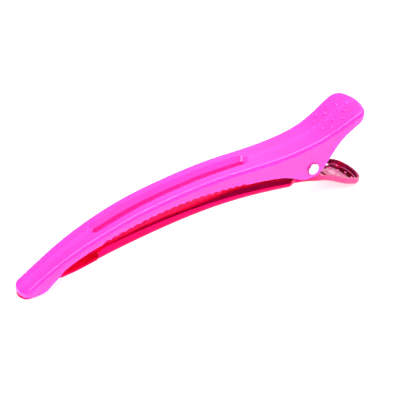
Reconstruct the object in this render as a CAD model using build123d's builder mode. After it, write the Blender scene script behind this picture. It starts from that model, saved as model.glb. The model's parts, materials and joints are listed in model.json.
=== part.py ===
from build123d import *
import math
import os

os.makedirs("parts", exist_ok=True)

# A duckbill hair clip lying as it rests on a table: a long arched plastic jaw above, a lacquered
# sheet-metal jaw with a thumb lever below, a rivet through both and a torsion spring round the rivet.
# Millimetres. X runs from the nose to the grip, Y across, Z up from the table. The origin is on the
# table, under the middle of the clip.

# Driving dimensions of the whole clip
clip_length = 114.2
clip_height = 26.9
grip_width = 14.2
nose_width = 7.2

# Plastic jaw
plate_thickness = 1.8
side_wall = 1.3
top_edge_radius = 1.3
nose_reach = 2.4
nose_corner = 2.1
grip_reach = 4.3
grip_corner = 3.6
slot_width = 1.6
slot_lip_depth = 1.0
slot_lip_wall = 0.9
groove_width = 4.4
groove_depth = 1.1
scallop_pitch = 2.3
scallop_depth = 0.45
dot_diameter = 1.3
dot_height = 0.36
dot_row_pitch = 2.15
dot_side_pitch = 1.98
dot_rows = 3
dot_sides = 2

# Sheet-metal jaw
sheet = 0.6
flange_inset = 0.25
bend_radius = 1.1
tip_plate_overhang = 0.1
tip_plate_width = 5.8
tip_plate_reach = 2.2
tip_plate_corner = 1.8
waist_width = 4.4
lever_width = 12.8
lever_reach = 4.0
lever_corner = 3.3
pad_height = 0.3
dimple_diameter = 1.1
dimple_depth = 0.25
dimple_row_pitch = 1.75
dimple_side_pitch = 1.5
dimple_rows = 2
dimple_sides = 2
pad_length = 10.4
pad_width = 9.6
tongue_corner = 1.0
tongue_inset = 0.7
flange_foot = 0.4

# Rivet and spring
rivet_diameter = 2.2
head_diameter = 3.5
head_height = 0.5
head_recess = 0.9
head_edge_radius = 0.3
wire = 0.8
spring_turns = 5

# Clearances
jaw_gap = 0.12
side_clearance = 0.2
rivet_clearance = 0.05
head_clearance = 0.08
spring_clearance = 0.3
leg_clearance = 0.1
coil_gap = 0.05

# Points drawn along the fitted edges
front_wall_steps = 6
rear_wall_steps = 22
tongue_steps = 14
tongue_edge_steps = 6
flange_steps = 8
halvings = 40

# A face counts as facing up or down when this much of its normal does
facing_share = 0.5

half_length = clip_length / 2


def along(share):
    """X of a share of the clip's length, counted from the nose."""
    return -half_length + share * clip_length


def up(share):
    """Z of a share of the clip's height, counted from the table."""
    return share * clip_height


# Places along the clip, as shares of its length and height
pivot_x = along(0.824)
pivot_z = up(0.450)
grip_end_x = along(0.992)
slot_front_x = along(0.206)
slot_rear_x = along(0.643)
heel_x = along(0.046)
notch_x = along(0.107)
tongue_front_x = along(0.099)
flange_front_x = along(0.199)
scallop_front_x = along(0.212)
scallop_rear_x = along(0.621)
shoulder_front_x = along(0.756)
shoulder_rear_x = along(0.786)
flare_x = along(0.866)
lever_full_x = along(0.947)
dots_x = along(0.905)
pad_x = along(0.943)
lower_leg_x = along(0.933)
upper_leg_x = along(0.901)

# Top line of the plastic jaw, seen from the side
top_line = [
    # share of length, share of height
    (0.000, 0.080),
    (0.053, 0.213),
    (0.117, 0.357),
    (0.203, 0.499),
    (0.312, 0.622),
    (0.436, 0.693),
    (0.554, 0.721),
    (0.692, 0.707),
    (0.785, 0.724),
    (0.854, 0.782),
    (0.927, 0.918),
    (0.958, 0.973),
    (0.977, 0.993),
    (0.996, 1.000),
]

# Heel of the nose, from its flat underside up to the notch
heel_line = [
    # share of length, share of height
    (0.063, 0.050),
    (0.078, 0.104),
    (0.096, 0.168),
]

# Lower edge of the plastic jaw's side walls: the notch, the long arch, the cheek round the rivet and
# the underside of the grip
wall_line = [
    # share of length, share of height
    (0.107, 0.222),
    (0.157, 0.327),
    (0.230, 0.425),
    (0.344, 0.527),
    (0.473, 0.570),
    (0.574, 0.553),
    (0.678, 0.504),
    (0.761, 0.413),
    (0.794, 0.349),
    (0.817, 0.333),
    (0.841, 0.354),
    (0.858, 0.423),
    (0.877, 0.532),
    (0.908, 0.710),
    (0.958, 0.862),
    (0.974, 0.893),
    (0.996, 0.916),
]

# Half widths of the plastic jaw between the blunt nose and the blunt grip, as shares of the way from
# half the nose width to half the grip width
width_line = [
    # share of length, share of the widening
    (0.149, 0.18),
    (0.264, 0.35),
    (0.463, 0.47),
    (0.727, 0.60),
    (0.859, 0.71),
    (0.906, 0.85),
]

# Underside of the sheet-metal jaw and its lever, behind the flat tip plate
lower_line = [
    # share of length, share of height
    (0.046, 0.000),
    (0.063, 0.032),
    (0.081, 0.088),
    (0.102, 0.128),
    (0.129, 0.146),
    (0.160, 0.171),
    (0.199, 0.209),
    (0.303, 0.288),
    (0.432, 0.348),
    (0.581, 0.362),
    (0.714, 0.310),
    (0.774, 0.272),
    (0.826, 0.228),
    (0.859, 0.185),
    (0.887, 0.157),
    (0.913, 0.122),
    (0.943, 0.068),
    (0.960, 0.042),
    (0.977, 0.017),
    (0.991, 0.003),
    (1.004, 0.000),
]

# Upper edge of the sheet-metal jaw: the flange, the shoulder, the ears round the rivet and the lever
rim_line = [
    # share of length, share of height
    (0.214, 0.348),
    (0.267, 0.399),
    (0.328, 0.443),
    (0.469, 0.484),
    (0.596, 0.503),
    (0.670, 0.478),
    (0.730, 0.427),
    (0.760, 0.382),
    (0.776, 0.355),
    (0.787, 0.364),
    (0.798, 0.427),
    (0.809, 0.511),
    (0.826, 0.557),
    (0.842, 0.511),
    (0.850, 0.413),
    (0.856, 0.323),
    (0.864, 0.273),
    (0.884, 0.241),
    (0.910, 0.214),
    (0.939, 0.165),
    (0.957, 0.137),
    (0.977, 0.104),
    (0.990, 0.090),
    (1.004, 0.073),
]


def side_points(table):
    return [(along(row_x), up(row_z)) for row_x, row_z in table]


def plan_points(extra=0.0):
    half_nose = nose_width / 2
    half_grip = grip_width / 2
    widening = half_grip - half_nose
    return [(along(row_x), half_nose + row_w * widening + extra) for row_x, row_w in width_line]


nose_centre_x = along(0) + tip_plate_overhang + nose_reach
tip_centre_x = along(0) + tip_plate_reach
grip_centre_x = grip_end_x - grip_reach
lever_centre_x = along(1) - lever_reach
wall_end_x = along(wall_line[-1][0])
slot_middle_x = (slot_front_x + slot_rear_x) / 2
below_all = -clip_height
above_all = 2 * clip_height
beyond = 2 * grip_width

top_curve = Spline(*side_points(top_line))
wall_curve = Spline(*side_points(wall_line))
lower_curve = Spline(*side_points(lower_line))
rim_curve = Spline(*side_points(rim_line))


def share_at(curve, x):
    """Share of a flat curve's length at a place along X, found by halving the curve."""
    low_end, high_end = 0.0, 1.0
    for _ in range(halvings):
        middle = (low_end + high_end) / 2
        if (curve @ middle).X < x:
            low_end = middle
        else:
            high_end = middle
    return low_end


def level(curve, x):
    """Second coordinate of a flat curve at a place along X."""
    return (curve @ share_at(curve, x)).Y


def beside(curve, x, offset):
    """Point at a place along a curve, moved off the curve square to it."""
    share = share_at(curve, x)
    place = curve @ share
    heading = (curve % share).normalized()
    return (place.X - heading.Y * offset, place.Y + heading.X * offset)


def offset_curve(curve, table, offset):
    """A copy of a table's curve, moved off it square to it."""
    return Spline([beside(curve, along(row_x), offset) for row_x, _ in table])


def side_curve(inset):
    """Half of the plastic jaw's outline seen from above, from the nose arc to the grip arc."""
    return Spline(
        (nose_centre_x, nose_width / 2 - inset),
        *plan_points(-inset),
        (grip_centre_x, grip_width / 2 - inset),
        tangents=[(1, 0), (1, 0)],
    )


outer_side = side_curve(0)


def half_width(x):
    """Half the plastic jaw's width at a place along X."""
    return level(outer_side, x)


def steps_between(x_from, x_to, count):
    return [x_from + (x_to - x_from) * step / count for step in range(count + 1)]


def stretch(curve, x_from, x_to, count):
    """Points along a curve between two places along X."""
    return [(x, level(curve, x)) for x in steps_between(x_from, x_to, count)]


def staggered(rows, sides, parity):
    """Row and side numbers of a staggered patch of dots."""
    return [
        (row, side)
        for row in range(-rows, rows + 1)
        for side in range(-sides, sides + 1)
        if (row + side) % 2 == parity
    ]


def plan_solid(far_side, ends):
    """Column over an outline seen from above, given as its side towards +Y and its two ends."""
    with BuildSketch(Plane.XY.offset(below_all), mode=Mode.PRIVATE) as outline:
        with BuildLine():
            add(far_side)
            mirror(far_side, about=Plane.XZ)
            add(ends)
        make_face()
    return extrude(outline.sketch, amount=above_all - below_all, mode=Mode.PRIVATE)


def side_solid(outline):
    """Slab across the clip over an outline seen from the side."""
    with BuildSketch(Plane.XZ.offset(beyond), mode=Mode.PRIVATE) as profile:
        with BuildLine():
            add(outline)
        make_face()
    return extrude(profile.sketch, amount=-2 * beyond, mode=Mode.PRIVATE)


def blunt_end(centre_x, reach, half, corner):
    """Blunt end seen from above: two corner arcs and a flatter arc between them.

    A negative reach turns it towards the nose."""
    heading = math.copysign(1, reach)
    depth = abs(reach) - corner
    spread = half - corner
    turn = math.atan2(spread, (spread ** 2 - depth ** 2) / (2 * depth))

    def on_corner(angle, side):
        x = centre_x + heading * corner * math.cos(angle)
        return (x, side * (spread + corner * math.sin(angle)))

    angles = (math.pi / 2, (math.pi / 2 + turn) / 2, turn)
    corners = [ThreePointArc(*[on_corner(angle, side) for angle in angles]) for side in (-1, 1)]
    front = ThreePointArc(on_corner(turn, -1), (centre_x + reach, 0), on_corner(turn, 1))
    return [*corners, front]


def jaw_column(inset):
    """Column over the plastic jaw's outline, drawn in by a wall."""
    half_nose = nose_width / 2 - inset
    half_grip = grip_width / 2 - inset
    nose_end = blunt_end(nose_centre_x, inset - nose_reach, half_nose, nose_corner - inset)
    grip_end = blunt_end(grip_centre_x, grip_reach - inset, half_grip, grip_corner - inset)
    return plan_solid(side_curve(inset), [*nose_end, *grip_end])


def layer(curve, table, offset_from, offset_to):
    """Slab across the clip between two offsets of a table's curve."""
    first = offset_curve(curve, table, offset_from)
    second = offset_curve(curve, table, offset_to)
    return side_solid([first, second, Line(first @ 0, second @ 0), Line(first @ 1, second @ 1)])


def slot_column(margin):
    """Column over the slot's outline, widened by a margin."""
    with BuildSketch(Plane.XY, mode=Mode.PRIVATE) as outline:
        with Locations((slot_middle_x, 0)):
            SlotCenterToCenter(slot_rear_x - slot_front_x - slot_width, slot_width + 2 * margin)
    return extrude(outline.sketch, amount=above_all, mode=Mode.PRIVATE)


def rivet_bore():
    """Bar through the clip that leaves the rivet its clearance."""
    with BuildSketch(Plane.XZ.offset(beyond), mode=Mode.PRIVATE) as bore:
        with Locations((pivot_x, pivot_z)):
            Circle(rivet_diameter / 2 + rivet_clearance)
    return extrude(bore.sketch, amount=-2 * beyond, mode=Mode.PRIVATE)


def top_face(jaw):
    """The largest face of a jaw that faces up."""
    return jaw.faces().filter_by(lambda face: face.normal_at().Z > facing_share).sort_by(SortBy.AREA)[-1]


# Plastic jaw: side outline with the scalloped lower edge of its walls
nose_floor_z = sheet + jaw_gap
scallop_count = round((scallop_rear_x - scallop_front_x) / scallop_pitch)
scallop_tips = stretch(wall_curve, scallop_front_x, scallop_rear_x, scallop_count)
front_wall = stretch(wall_curve, notch_x, scallop_front_x, front_wall_steps)
rear_wall = stretch(wall_curve, scallop_rear_x, wall_end_x, rear_wall_steps)
side_lines = [
    top_curve,
    Line(top_curve @ 1, rear_wall[-1]),
    Spline(rear_wall),
    Spline(front_wall),
    Spline([(heel_x, nose_floor_z), *side_points(heel_line), front_wall[0]]),
    Polyline(top_curve @ 0, (along(0), nose_floor_z), (heel_x, nose_floor_z)),
]
for (tip_x, tip_z), (next_x, next_z) in zip(scallop_tips, scallop_tips[1:]):
    crest = ((tip_x + next_x) / 2, (tip_z + next_z) / 2 + scallop_depth)
    side_lines.append(ThreePointArc((tip_x, tip_z), crest, (next_x, next_z)))

# Space inside the plastic jaw, open below
ceiling = offset_curve(top_curve, top_line, -plate_thickness)
hollow_side = side_solid([
    ceiling,
    Polyline(ceiling @ 1, ((ceiling @ 1).X, below_all), ((ceiling @ 0).X, below_all), ceiling @ 0),
])
hollow = hollow_side & jaw_column(side_wall)

# Lip that stiffens the slot below the plate
lip_bottom = plate_thickness + slot_lip_depth
slot_lip = layer(top_curve, top_line, -plate_thickness / 2, -lip_bottom) & slot_column(slot_lip_wall)

# Domes of the thumb grip, sunk so that only their caps stand out
dome_radius = ((dot_diameter / 2) ** 2 + dot_height ** 2) / (2 * dot_height)
dome_places = []
for row, side in staggered(dot_rows, dot_sides, 1):
    if abs(row) + abs(side) <= dot_rows:
        slope = (top_curve % share_at(top_curve, dots_x)).normalized()
        dome_x, dome_z = beside(top_curve, dots_x + row * dot_row_pitch * slope.X, dot_height - dome_radius)
        dome_places.append((dome_x, side * dot_side_pitch, dome_z))

with BuildPart() as upper_jaw:
    add(side_solid(side_lines))
    add(jaw_column(0), mode=Mode.INTERSECT)
    fillet(top_face(upper_jaw).edges(), top_edge_radius)
    add(hollow, mode=Mode.SUBTRACT)
    add(slot_lip)
    add(rivet_bore(), mode=Mode.SUBTRACT)
    add(slot_column(0), mode=Mode.SUBTRACT)
    grooved_face = top_face(upper_jaw)
    chamfer(
        grooved_face.inner_wires()[0].edges(),
        length=(groove_width - slot_width) / 2,
        length2=groove_depth,
        reference=grooved_face,
    )
    with Locations(*dome_places):
        Sphere(dome_radius)
upper_jaw.part.label = "upper_jaw"
export_step(upper_jaw.part, "parts/upper_jaw.step")

# Sheet-metal jaw: tip plate on the table, narrow waist inside the heel, then the full-width tongue
floor_curve = offset_curve(lower_curve, lower_line, sheet)
tongue_side = side_solid([
    Line((along(0) - sheet, 0), (heel_x, 0)),
    Spline(stretch(lower_curve, heel_x, flange_front_x, tongue_steps)),
    Line(
        (flange_front_x, level(lower_curve, flange_front_x)),
        (flange_front_x, level(floor_curve, flange_front_x)),
    ),
    Spline(stretch(floor_curve, heel_x, flange_front_x, tongue_steps)),
    Polyline(
        (heel_x, level(floor_curve, heel_x)),
        (heel_x - sheet, sheet),
        (along(0) - sheet, sheet),
        (along(0) - sheet, 0),
    ),
])
waist_length = tongue_front_x + tongue_corner - tip_centre_x
half_tip = tip_plate_width / 2
tip_end = blunt_end(tip_centre_x, -tip_plate_reach, half_tip, tip_plate_corner)
with BuildSketch(Plane.XY.offset(below_all)) as tongue_plan:
    with BuildLine():
        tongue_edge = Spline([
            (x, half_width(x) - tongue_inset)
            for x in steps_between(tongue_front_x, flange_front_x, tongue_edge_steps)
        ])
        Line(tongue_edge @ 0, ((tongue_edge @ 0).X, -(tongue_edge @ 0).Y))
        mirror(tongue_edge, about=Plane.XZ)
        Line(tongue_edge @ 1, ((tongue_edge @ 1).X, -(tongue_edge @ 1).Y))
    make_face()
    fillet(tongue_plan.vertices().filter_by_position(Axis.X, tongue_front_x, tongue_front_x), tongue_corner)
    with Locations((tip_centre_x, 0)):
        Rectangle(waist_length, waist_width, align=(Align.MIN, Align.CENTER))
    with BuildLine():
        add(tip_end)
        Polyline(
            (tip_centre_x, -half_tip),
            (heel_x, -half_tip),
            (heel_x, half_tip),
            (tip_centre_x, half_tip),
        )
    make_face()
tongue = tongue_side & extrude(tongue_plan.sketch, amount=above_all - below_all)

# The flange, the ears and the lever are one tray of folded sheet
ear_half = half_width(shoulder_front_x) - side_wall - side_clearance


def tray(inset, front_x):
    """The tray's outside, or with an inset the space inside it, open above."""
    flange_edge = Spline([
        (x, half_width(x) - flange_inset - inset)
        for x in steps_between(front_x, shoulder_front_x, flange_steps)
    ])
    shoulder = Spline([flange_edge @ 1, (shoulder_rear_x, ear_half - inset)], tangents=[(1, 0), (1, 0)])
    ear_edge = Line(shoulder @ 1, (flare_x, ear_half - inset))
    flare = Spline(
        [ear_edge @ 1, (lever_full_x, lever_width / 2 - inset)],
        tangents=[(1, 0), (1, 0)],
    )
    lever_edge = Line(flare @ 1, (lever_centre_x, lever_width / 2 - inset))
    lever_end = blunt_end(
        lever_centre_x,
        lever_reach - inset,
        lever_width / 2 - inset,
        lever_corner - inset,
    )
    front_edge = Line(flange_edge @ 0, (front_x, -(flange_edge @ 0).Y))
    column = plan_solid([flange_edge, shoulder, ear_edge, flare, lever_edge], [*lever_end, front_edge])
    bottom = offset_curve(lower_curve, lower_line, inset)
    slab = side_solid([
        bottom,
        Polyline(bottom @ 1, ((bottom @ 1).X, above_all), ((bottom @ 0).X, above_all), bottom @ 0),
    ])
    block = column & slab
    undersides = block.faces().filter_by(lambda face: face.normal_at().Z < -facing_share)
    underside = undersides.sort_by(SortBy.AREA)[-1]
    folds = underside.edges().filter_by(lambda edge: edge.center().X > front_x + bend_radius)
    return block.fillet(bend_radius - inset, folds)


corner_foot = (flange_front_x, level(floor_curve, flange_front_x) + flange_foot)
rim_start = Spline([corner_foot, rim_curve @ 0], tangents=[(0, 1), rim_curve % 0])
over_rim = side_solid([
    rim_start,
    rim_curve,
    Polyline(
        rim_curve @ 1,
        (along(1) + beyond, (rim_curve @ 1).Y),
        (along(1) + beyond, above_all),
        (along(0), above_all),
        (along(0), corner_foot[1]),
        corner_foot,
    ),
])

# Raised pad on the lever with its staggered dimples
pad_side = layer(lower_curve, lower_line, sheet / 2, sheet + pad_height)
with BuildSketch(Plane.XY.offset(below_all)) as pad_plan:
    with Locations((pad_x, 0)):
        Ellipse(pad_length / 2, pad_width / 2)
pad = pad_side & extrude(pad_plan.sketch, amount=above_all - below_all)
dimple_radius = ((dimple_diameter / 2) ** 2 + dimple_depth ** 2) / (2 * dimple_depth)
dimple_places = []
for row, side in staggered(dimple_rows, dimple_sides, 0):
    dimple_x, dimple_z = beside(
        lower_curve,
        pad_x + row * dimple_row_pitch,
        sheet + pad_height + dimple_radius - dimple_depth,
    )
    dimple_places.append((dimple_x, side * dimple_side_pitch, dimple_z))

tray_outside = tray(0, flange_front_x)
tray_inside = tray(sheet, flange_front_x - sheet)

with BuildPart() as lower_jaw:
    add(tray_outside)
    add(tray_inside, mode=Mode.SUBTRACT)
    add(over_rim, mode=Mode.SUBTRACT)
    add(tongue)
    add(pad)
    with Locations(*dimple_places):
        Sphere(dimple_radius, mode=Mode.SUBTRACT)
    add(rivet_bore(), mode=Mode.SUBTRACT)
lower_jaw.part.label = "lower_jaw"
export_step(lower_jaw.part, "parts/lower_jaw.step")

# Rivet with a domed, hollow-centred head outside each cheek
head_face_y = half_width(pivot_x + head_diameter / 2) + head_clearance
with BuildPart() as pivot_pin:
    with BuildSketch(Plane.XY.offset(pivot_z)):
        with BuildLine():
            Polyline(
                (pivot_x, 0),
                (pivot_x + rivet_diameter / 2, 0),
                (pivot_x + rivet_diameter / 2, head_face_y),
                (pivot_x + head_diameter / 2, head_face_y),
                (pivot_x + head_diameter / 2, head_face_y + head_height - head_edge_radius),
            )
            ThreePointArc(
                (pivot_x + head_diameter / 2, head_face_y + head_height - head_edge_radius),
                (
                    pivot_x + head_diameter / 2 - head_edge_radius * (1 - math.sqrt(0.5)),
                    head_face_y + head_height - head_edge_radius * (1 - math.sqrt(0.5)),
                ),
                (pivot_x + head_diameter / 2 - head_edge_radius, head_face_y + head_height),
            )
            Polyline(
                (pivot_x + head_diameter / 2 - head_edge_radius, head_face_y + head_height),
                (pivot_x + head_recess / 2, head_face_y + head_height),
                (pivot_x, head_face_y + head_height - head_recess / 2),
                (pivot_x, 0),
            )
        make_face()
    revolve(axis=Axis((pivot_x, 0, pivot_z), (0, 1, 0)))
    mirror(about=Plane.XZ)
pivot_pin.part.label = "pivot_pin"
export_step(pivot_pin.part, "parts/pivot_pin.step")

# Torsion spring: a coil round the rivet, one leg along the lever's floor and one under the grip
spring_pitch = wire + coil_gap
coil_radius = rivet_diameter / 2 + spring_clearance + wire / 2
coil_slope = spring_pitch / (math.tau * coil_radius)
lower_leg_end = beside(lower_curve, lower_leg_x, sheet + pad_height + leg_clearance + wire / 2)
upper_leg_end = beside(top_curve, upper_leg_x, -plate_thickness - leg_clearance - wire / 2)


def touch(target, turn):
    """Angle on the coil where the straight leg from a target point touches it, and the leg's length."""
    away_x = target[0] - pivot_x
    away_z = target[1] - pivot_z
    away = math.hypot(away_x, away_z)
    angle = math.atan2(away_z, away_x) + turn * math.acos(coil_radius / away)
    return angle, math.sqrt(away ** 2 - coil_radius ** 2)


def leg_tip(target, across):
    return (target[0], across, target[1])


upper_angle, upper_length = touch(upper_leg_end, 1)
lower_angle, lower_length = touch(lower_leg_end, -1)
coil_sweep = lower_angle - upper_angle + math.tau * (spring_turns + 1)
coil_width = spring_pitch * coil_sweep / math.tau
coil_start = Plane(
    origin=(pivot_x, -coil_width / 2, pivot_z),
    x_dir=(math.cos(upper_angle), 0, math.sin(upper_angle)),
    z_dir=(0, 1, 0),
)
coil = coil_start * Helix(spring_pitch, coil_width, coil_radius, lefthand=True)
with BuildPart() as spring:
    with BuildLine() as wire_path:
        Line(leg_tip(upper_leg_end, -coil_width / 2 - coil_slope * upper_length), coil @ 0)
        add(coil)
        Line(coil @ 1, leg_tip(lower_leg_end, coil_width / 2 + coil_slope * lower_length))
    with BuildSketch(Plane(origin=wire_path.line @ 0, z_dir=wire_path.line % 0)):
        Circle(wire / 2)
    sweep()
spring.part.label = "spring"
export_step(spring.part, "parts/spring.step")
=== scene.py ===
import bpy
import json
import math
from mathutils import Matrix, Vector


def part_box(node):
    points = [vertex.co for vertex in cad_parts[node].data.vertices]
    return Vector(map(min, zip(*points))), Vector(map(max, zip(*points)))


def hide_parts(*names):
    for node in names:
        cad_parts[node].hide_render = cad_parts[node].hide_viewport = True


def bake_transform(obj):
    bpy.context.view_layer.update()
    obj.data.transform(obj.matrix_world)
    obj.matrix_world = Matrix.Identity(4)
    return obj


# A duckbill hair clip lying closed on a pale table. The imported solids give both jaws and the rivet;
# this script gives them their plastic, lacquer and plating, winds the spring and lights the set.
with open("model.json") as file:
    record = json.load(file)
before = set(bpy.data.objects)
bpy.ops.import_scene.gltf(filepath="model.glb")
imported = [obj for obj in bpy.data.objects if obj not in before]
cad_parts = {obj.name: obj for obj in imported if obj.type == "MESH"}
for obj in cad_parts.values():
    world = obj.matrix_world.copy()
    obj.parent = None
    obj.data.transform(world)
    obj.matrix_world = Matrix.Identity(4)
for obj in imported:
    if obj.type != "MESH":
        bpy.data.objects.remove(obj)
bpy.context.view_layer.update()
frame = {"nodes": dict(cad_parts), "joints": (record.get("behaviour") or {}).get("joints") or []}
nodes = frame["nodes"]
hinge = frame["joints"][0]


# The sheet-metal jaw: one blank of thin bright steel, folded up along its sides into a flange, ears
# and a thumb lever, then dipped in a clear deep-pink lacquer. The lacquer varies in soft patches and
# is thinner on the lever.
class Shade:
    """One output of a shader node, so that shader maths is written as ordinary expressions."""

    def __init__(self, tree, socket):
        self.tree = tree
        self.socket = socket

    def maths(self, operation, first, second):
        made = paint_node(self.tree, "ShaderNodeMath", {"operation": operation}, {0: first, 1: second})
        return made["Value"]

    def __add__(self, other):
        return self.maths("ADD", self, other)

    def __radd__(self, other):
        return self.maths("ADD", other, self)

    def __sub__(self, other):
        return self.maths("SUBTRACT", self, other)

    def __rsub__(self, other):
        return self.maths("SUBTRACT", other, self)

    def __mul__(self, other):
        return self.maths("MULTIPLY", self, other)

    def __rmul__(self, other):
        return self.maths("MULTIPLY", other, self)

    def between(self, low, high):
        """A smooth rise from 0 to 1 as the value goes from low to high."""
        made = paint_node(self.tree, "ShaderNodeMapRange", {"interpolation_type": "SMOOTHSTEP"}, {
            "Value": self, "From Min": low, "From Max": high,
        })
        return made["Result"]


class Outputs:
    """The outputs of one node, each by its name."""

    def __init__(self, tree, node):
        self.tree = tree
        self.node = node

    def __getitem__(self, name):
        return Shade(self.tree, self.node.outputs[name])


def paint_node(tree, kind, settings=None, inputs=None, stops=()):
    """Adds one node: its settings and ramp stops first, then the value or link of each socket."""
    node = tree.nodes.new(kind)
    for name, value in (settings or {}).items():
        setattr(node, name, value)
    for number, (place, colour) in enumerate(stops):
        ramp = node.color_ramp.elements
        stop = ramp[number] if number < len(ramp) else ramp.new(place)
        stop.position = place
        stop.color = (*colour, 1.0)
    for name, value in (inputs or {}).items():
        if isinstance(value, Shade):
            tree.links.new(value.socket, node.inputs[name])
        else:
            node.inputs[name].default_value = value
    return Outputs(tree, node)


def noise(tree, place, scale, detail):
    """Soft random patches, so many to the metre."""
    return paint_node(tree, "ShaderNodeTexNoise", inputs={
        "Vector": place, "Scale": scale, "Detail": detail,
    })["Fac"]


def colour_ramp(tree, share, stops):
    return paint_node(tree, "ShaderNodeValToRGB", inputs={"Fac": share}, stops=stops)["Color"]


def new_finish(name, fixed):
    """A material with one glossy shader, whose unvarying values are set on its own sockets."""
    finish = bpy.data.materials.new(name)
    finish.use_nodes = True
    tree = finish.node_tree
    tree.nodes.clear()
    shader = paint_node(tree, "ShaderNodeBsdfPrincipled", inputs=fixed)
    output = tree.nodes.new("ShaderNodeOutputMaterial")
    tree.links.new(shader["BSDF"].socket, output.inputs["Surface"])
    place = paint_node(tree, "ShaderNodeTexCoord")["Object"]
    return finish, tree, shader.node, place


def feed(tree, shader, name, value):
    tree.links.new(value.socket, shader.inputs[name])


def wear_only(piece, finish):
    piece.data.materials.clear()
    piece.data.materials.append(finish)


# Places of the colour sockets on a mix node, whose names repeat for every kind of value
mix_first_colour = 6
mix_second_colour = 7
mix_colour_result = 2


def blend_colour(tree, share, first, second):
    """Mixes two colours, each a plain colour or the output of a node."""
    inputs = {"Factor": share}
    for socket, colour in ((mix_first_colour, first), (mix_second_colour, second)):
        inputs[socket] = colour if isinstance(colour, Shade) else (*colour, 1.0)
    node = paint_node(tree, "ShaderNodeMix", {"data_type": "RGBA"}, inputs).node
    return Shade(tree, node.outputs[mix_colour_result])


lacquer_pink = (0.76, 0.001, 0.090)
lacquer_deep = (0.62, 0.001, 0.060)
lacquer_thin = (0.50, 0.060, 0.185)
lacquer_deep_up_to = 0.30
lacquer_pink_from = 0.62
lacquer_roughness = 0.09
lacquer_rough_spread = 0.06
lacquer_cloud_per_m = 260.0
lacquer_cloud_detail = 3.0
lacquer_grain_per_m = 2600.0
lacquer_grain_detail = 2.0
thin_from_x = 0.036
thin_to_x = 0.046
flange_foot_z = 0.00966
flange_foot_slope = 0.0152
flange_foot_bow = -2.97
flange_rear_x = 0.030
curl_height = 0.0013
curl_rise = 0.0275
curl_band = 0.0006
curl_lean = 0.45


def lacquered_metal():
    finish, tree, shader, place = new_finish("pink_lacquered_metal", {"Metallic": 1.0})
    cloud = noise(tree, place, lacquer_cloud_per_m, lacquer_cloud_detail)
    grain = noise(tree, place, lacquer_grain_per_m, lacquer_grain_detail)
    colour = colour_ramp(tree, cloud, [
        (lacquer_deep_up_to, lacquer_deep),
        (lacquer_pink_from, lacquer_pink),
    ])
    spot = paint_node(tree, "ShaderNodeSeparateXYZ", inputs={"Vector": place})
    x, z = spot["X"], spot["Z"]
    thinned = x.between(thin_from_x, thin_to_x)
    feed(tree, shader, "Base Color", blend_colour(tree, thinned, colour, lacquer_thin))
    feed(tree, shader, "Roughness", lacquer_roughness + grain * lacquer_rough_spread)

    # The flange is shaded as if it curled in towards its rim, most at the rear; its mesh has no curl
    above_foot = z - (x * x * flange_foot_bow + x * flange_foot_slope + flange_foot_z)
    curl_from = curl_height + (flange_rear_x - x) * curl_rise
    on_flange = 1.0 - x.between(flange_rear_x, thin_from_x)
    share = (above_foot - curl_from).between(0.0, curl_band) * on_flange
    lean = paint_node(tree, "ShaderNodeCombineXYZ", inputs={"Z": share * curl_lean})["Vector"]
    facing = paint_node(tree, "ShaderNodeNewGeometry")["Normal"]
    tipped = paint_node(tree, "ShaderNodeVectorMath", {"operation": "ADD"}, {0: facing, 1: lean})
    curled = paint_node(tree, "ShaderNodeVectorMath", {"operation": "NORMALIZE"}, {0: tipped["Vector"]})
    feed(tree, shader, "Normal", curled["Vector"])
    return finish


wear_only(nodes["lower_jaw"], lacquered_metal())


# The rivet: bright plated metal passed through both jaws and the coil, with a small head at each end.
# Fine streaks vary its gloss a little.
rivet_colour = (0.66, 0.66, 0.69)
rivet_roughness = 0.14
rivet_streaks_per_m = 900.0
streak_detail = 4.0
streak_rough_spread = 0.12


def bright_plating(name, colour, roughness, streaks_per_m):
    finish, tree, shader, place = new_finish(name, {
        "Metallic": 1.0,
        "Base Color": (*colour, 1.0),
    })
    streaks = noise(tree, place, streaks_per_m, streak_detail)
    feed(tree, shader, "Roughness", roughness + streaks * streak_rough_spread)
    return finish


wear_only(
    nodes["pivot_pin"],
    bright_plating("bright_steel", rivet_colour, rivet_roughness, rivet_streaks_per_m),
)


# The torsion spring: drawn wire wound round the rivet, with one leg along the lever's floor and the
# other under the grip. It is wound here again, in place of the imported spring.
spring_wire = 0.0008
spring_turns = 5
spring_pitch = 0.00085
coil_steps_per_turn = 24
leg_steps = 8
wire_sides = 12
lower_tip_inset = 0.00018
lower_tip_lift = 0.00036
upper_tip_inset = 0.00340
upper_tip_drop = 0.00033
bend_share = 0.85
wire_colour = (0.74, 0.75, 0.77)
wire_roughness = 0.20
wire_streaks_per_m = 1500.0
hinge_x, _, hinge_z = hinge["pos_m"]
spring_low, spring_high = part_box("spring")
coil_radius = hinge_x - spring_low.x - spring_wire / 2
coil_slope = spring_pitch / (math.tau * coil_radius)
lower_leg_tip = (spring_high.x - lower_tip_inset, spring_low.z + lower_tip_lift)
upper_leg_tip = (spring_high.x - upper_tip_inset, spring_high.z - upper_tip_drop)


def touch(tip, turn):
    """Angle on the coil where the straight leg from a tip touches it, and the leg's length."""
    away_x = tip[0] - hinge_x
    away_z = tip[1] - hinge_z
    away = math.hypot(away_x, away_z)
    angle = math.atan2(away_z, away_x) + turn * math.acos(coil_radius / away)
    return angle, math.sqrt(away ** 2 - coil_radius ** 2)


def coil_point(angle, across):
    x = hinge_x + coil_radius * math.cos(angle)
    z = hinge_z + coil_radius * math.sin(angle)
    return Vector((x, across, z))


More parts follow.
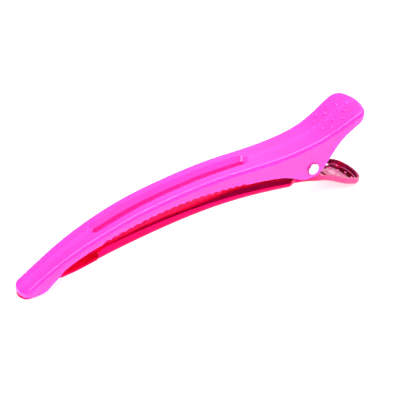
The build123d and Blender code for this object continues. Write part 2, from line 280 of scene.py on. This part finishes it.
def spring_route():
    """The wire's middle line: down the upper leg, round the coil and out along the lower leg."""
    upper_angle, upper_length = touch(upper_leg_tip, 1)
    lower_angle, lower_length = touch(lower_leg_tip, -1)
    sweep = lower_angle - upper_angle + math.tau * (spring_turns + 1)
    half_coil = spring_pitch * sweep / math.tau / 2
    steps = round(coil_steps_per_turn * sweep / math.tau)
    coil = []
    for step in range(steps + 1):
        share = step / steps
        coil.append(coil_point(upper_angle + sweep * share, half_coil * (2 * share - 1)))
    leg_in = Vector((upper_leg_tip[0], -half_coil - coil_slope * upper_length, upper_leg_tip[1]))
    leg_out = Vector((lower_leg_tip[0], half_coil + coil_slope * lower_length, lower_leg_tip[1]))
    leg_shares = [step / leg_steps for step in range(leg_steps)]
    upper_leg = [leg_in.lerp(coil[0], share) for share in leg_shares]
    lower_leg = [leg_out.lerp(coil[-1], share) for share in leg_shares]
    return upper_leg + coil + lower_leg[::-1], half_coil


def placed_object(name, data):
    made = bpy.data.objects.new(name, data)
    bpy.context.scene.collection.objects.link(made)
    return made


def route_curve(name, points):
    curve = bpy.data.curves.new(name, "CURVE")
    curve.dimensions = "3D"
    line = curve.splines.new("POLY")
    line.points.add(len(points) - 1)
    for point, place in zip(line.points, points):
        point.co = (*place, 1.0)
    return placed_object(name, curve)


def wire_tree(finish):
    """Geometry Nodes tree that draws a round wire along a curve."""
    tree = bpy.data.node_groups.new("drawn_wire", "GeometryNodeTree")
    tree.interface.new_socket("Route", in_out="INPUT", socket_type="NodeSocketGeometry")
    thickness = tree.interface.new_socket("Wire", in_out="INPUT", socket_type="NodeSocketFloat")
    sides = tree.interface.new_socket("Sides", in_out="INPUT", socket_type="NodeSocketInt")
    tree.interface.new_socket("Wire mesh", in_out="OUTPUT", socket_type="NodeSocketGeometry")
    given = tree.nodes.new("NodeGroupInput")
    half = tree.nodes.new("ShaderNodeMath")
    half.operation = "MULTIPLY"
    half.inputs[1].default_value = 0.5
    ring = tree.nodes.new("GeometryNodeCurvePrimitiveCircle")
    tube = tree.nodes.new("GeometryNodeCurveToMesh")
    tube.inputs["Fill Caps"].default_value = True
    smooth = tree.nodes.new("GeometryNodeSetShadeSmooth")
    real = tree.nodes.new("GeometryNodeRealizeInstances")
    painted = tree.nodes.new("GeometryNodeSetMaterial")
    painted.inputs["Material"].default_value = finish
    result = tree.nodes.new("NodeGroupOutput")
    joins = [
        (given.outputs["Wire"], half.inputs[0]),
        (half.outputs[0], ring.inputs["Radius"]),
        (given.outputs["Sides"], ring.inputs["Resolution"]),
        (given.outputs["Route"], tube.inputs["Curve"]),
        (ring.outputs["Curve"], tube.inputs["Profile Curve"]),
        (tube.outputs["Mesh"], smooth.inputs["Geometry"]),
        (smooth.outputs["Geometry"], real.inputs["Geometry"]),
        (real.outputs["Geometry"], painted.inputs["Geometry"]),
        (painted.outputs["Geometry"], result.inputs["Wire mesh"]),
    ]
    for start, end in joins:
        tree.links.new(start, end)
    return tree, {thickness.identifier: spring_wire, sides.identifier: wire_sides}


def plain_mesh(source, name, tree, values):
    """Runs a Geometry Nodes tree on an object and keeps the result as a plain mesh object."""
    modifier = source.modifiers.new(name, "NODES")
    modifier.node_group = tree
    for identifier, value in values.items():
        modifier[identifier] = value
    graph = bpy.context.evaluated_depsgraph_get()
    mesh = bpy.data.meshes.new_from_object(source.evaluated_get(graph))
    mesh.name = name
    bpy.data.objects.remove(source)
    return placed_object(name, mesh)


spring_finish = bright_plating("spring_steel", wire_colour, wire_roughness, wire_streaks_per_m)
route, half_coil = spring_route()
wire_nodes, wire_values = wire_tree(spring_finish)
spring = plain_mesh(route_curve("spring_route", route), "wound_spring", wire_nodes, wire_values)
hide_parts("spring")
half_coil * bend_share
-half_coil * bend_share
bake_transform(spring)


# The plastic jaw: one glossy injection moulding in a bright, slightly milky pink-violet, with a slot
# along the middle, a scalloped lower edge and raised dots for the thumb.
plastic_pink = (0.95, 0.012, 0.410)
plastic_light = (0.97, 0.015, 0.470)
plastic_pink_up_to = 0.30
plastic_light_from = 0.70
plastic_flow_per_m = 45.0
plastic_skin_per_m = 1400.0
plastic_noise_detail = 2.0
plastic_roughness = 0.21
plastic_rough_spread = 0.015
plastic_milkiness = 0.6
plastic_light_reach = (0.0060, 0.0006, 0.0025)
glow_colour = (0.55, 0.010, 0.060)
no_glow = (0.0, 0.0, 0.0)
glow_half_width = 0.0009
glow_fade = 0.0001


def moulded_plastic():
    finish, tree, shader, place = new_finish("pink_plastic", {
        "IOR": 1.5,
        "Subsurface Weight": plastic_milkiness,
        "Subsurface Radius": plastic_light_reach,
        "Subsurface Scale": 1.0,
        "Emission Strength": 1.0,
    })
    flow = noise(tree, place, plastic_flow_per_m, plastic_noise_detail)
    skin = noise(tree, place, plastic_skin_per_m, plastic_noise_detail)
    colour = colour_ramp(tree, flow, [
        (plastic_pink_up_to, plastic_pink),
        (plastic_light_from, plastic_light),
    ])
    feed(tree, shader, "Base Color", colour)
    feed(tree, shader, "Roughness", plastic_roughness + skin * plastic_rough_spread)

    # A narrow glow stands for light that seeps through the slot's walls. It follows the whole middle
    # line, so it also lights the face faintly beyond both ends of the slot.
    across = paint_node(tree, "ShaderNodeSeparateXYZ", inputs={"Vector": place})["Y"]
    off_middle = paint_node(tree, "ShaderNodeMath", {"operation": "ABSOLUTE"}, {0: across})["Value"]
    near_middle = 1.0 - off_middle.between(glow_half_width, glow_half_width + glow_fade)
    feed(tree, shader, "Emission Color", blend_colour(tree, near_middle, no_glow, glow_colour))
    finish.cycles.emission_sampling = "NONE"
    return finish


wear_only(nodes["upper_jaw"], moulded_plastic())


# The set: a plain pale floor that glows a little, one long narrow light overhead and a sky. The sky is
# white at the back and dim at the camera's side near the horizon, for the lacquer to mirror.
floor_size = 6.0
floor_white = (0.86, 0.86, 0.86)
floor_shade = (0.84, 0.84, 0.85)
floor_drop = 0.0001
floor_glow = 0.60
floor_roughness = 0.6
floor_mottle_per_m = 4.0
floor_mottle_detail = 2.0
pure_white = (1.0, 1.0, 1.0, 1.0)


def pale_floor():
    finish, tree, shader, place = new_finish("pale_floor", {
        "Roughness": floor_roughness,
        "Emission Color": pure_white,
        "Emission Strength": floor_glow,
    })
    mottle = noise(tree, place, floor_mottle_per_m, floor_mottle_detail)
    colour = colour_ramp(tree, mottle, [(0.0, floor_shade), (1.0, floor_white)])
    feed(tree, shader, "Base Color", colour)
    return finish


floor_mesh = bpy.data.meshes.new("table_top")
half_floor = floor_size / 2
corner_signs = ((-1, -1), (1, -1), (1, 1), (-1, 1))
floor_corners = [(x * half_floor, y * half_floor, -floor_drop) for x, y in corner_signs]
floor_mesh.from_pydata(floor_corners, [], [(0, 1, 2, 3)])
floor_mesh.materials.append(pale_floor())
table_top = placed_object("table_top", floor_mesh)


strip_place = Vector((0.05, -0.12, 0.85))
strip_aim = Vector((0.0, 0.0, 0.014))
strip_along = Vector((1.0, 0.30, 0.0))
strip_length = 1.4
strip_width = 0.15
strip_watts = 8.5


def facing_back(place, back, right):
    """The matrix of a lamp or camera at a place, with its back and right side facing two given ways."""
    turn = Matrix((right, back.cross(right), back)).transposed()
    return Matrix.Translation(place) @ turn.to_4x4()


def strip_light():
    """A long narrow soft box over the clip, which draws the thin bright line on its near edge."""
    light = bpy.data.lights.new("strip_light", "AREA")
    light.shape = "RECTANGLE"
    light.size = strip_length
    light.size_y = strip_width
    light.energy = strip_watts
    back = (strip_place - strip_aim).normalized()
    across = back.cross(strip_along).normalized()
    lamp = placed_object("strip_light", light)
    lamp.matrix_world = facing_back(strip_place, back, across.cross(back))


strip_light()


sky_front = 0.38
sky_back = 1.38
sky_back_from = 0.0
sky_back_full = 0.75
sky_shelf = 0.70
shelf_from = 0.15
shelf_full = 0.30
sky_shown = 1.0
sky_heading = (0.80, 0.60, 0.0)


def studio_sky():
    """A sky that is bright at the back, dim low down at the front and lighter again above that."""
    sky = bpy.data.worlds.new("studio_sky")
    sky.use_nodes = True
    tree = sky.node_tree
    tree.nodes.clear()
    heading = paint_node(tree, "ShaderNodeTexCoord")["Generated"]
    height = paint_node(tree, "ShaderNodeSeparateXYZ", inputs={"Vector": heading})["Z"]
    depth = paint_node(tree, "ShaderNodeVectorMath", {"operation": "DOT_PRODUCT"}, {
        0: heading, 1: sky_heading,
    })["Value"]
    seen = paint_node(tree, "ShaderNodeLightPath")["Is Camera Ray"]
    behind = depth.between(sky_back_from, sky_back_full)
    shelf = height.between(shelf_from, shelf_full) * (1.0 - behind) * sky_shelf
    cast = sky_front + behind * (sky_back - sky_front) + shelf
    strength = cast * (1.0 - seen) + seen * sky_shown
    glow = paint_node(tree, "ShaderNodeBackground", inputs={"Color": pure_white, "Strength": strength})
    output = tree.nodes.new("ShaderNodeOutputWorld")
    tree.links.new(glow["Background"].socket, output.inputs["Surface"])
    return sky


bpy.context.scene.world = studio_sky()
bpy.context.scene.view_settings.view_transform = "Standard"


# The camera: at the photographer's place, as fitted to the photograph, with the picture's slight lean.
# It is turned to this clip, and its long lens is chosen so that the clip fills the picture.
camera_place = Vector((-0.25563, -0.36027, 0.31408))
camera_aim = Vector((0.00183, 0.0, 0.01027))
camera_up = Vector((0.29474, 0.48412, 0.82387))
camera_lens = 172.0
camera_sees_from = 0.01
camera_sees_to = 20.0

lens = bpy.data.cameras.new("photo_camera")
lens.lens = camera_lens
lens.clip_start = camera_sees_from
lens.clip_end = camera_sees_to
camera = placed_object("photo_camera", lens)
camera_back = (camera_place - camera_aim).normalized()
camera_right = camera_up.cross(camera_back).normalized()
camera.matrix_world = facing_back(camera_place, camera_back, camera_right)
bpy.context.scene.camera = camera
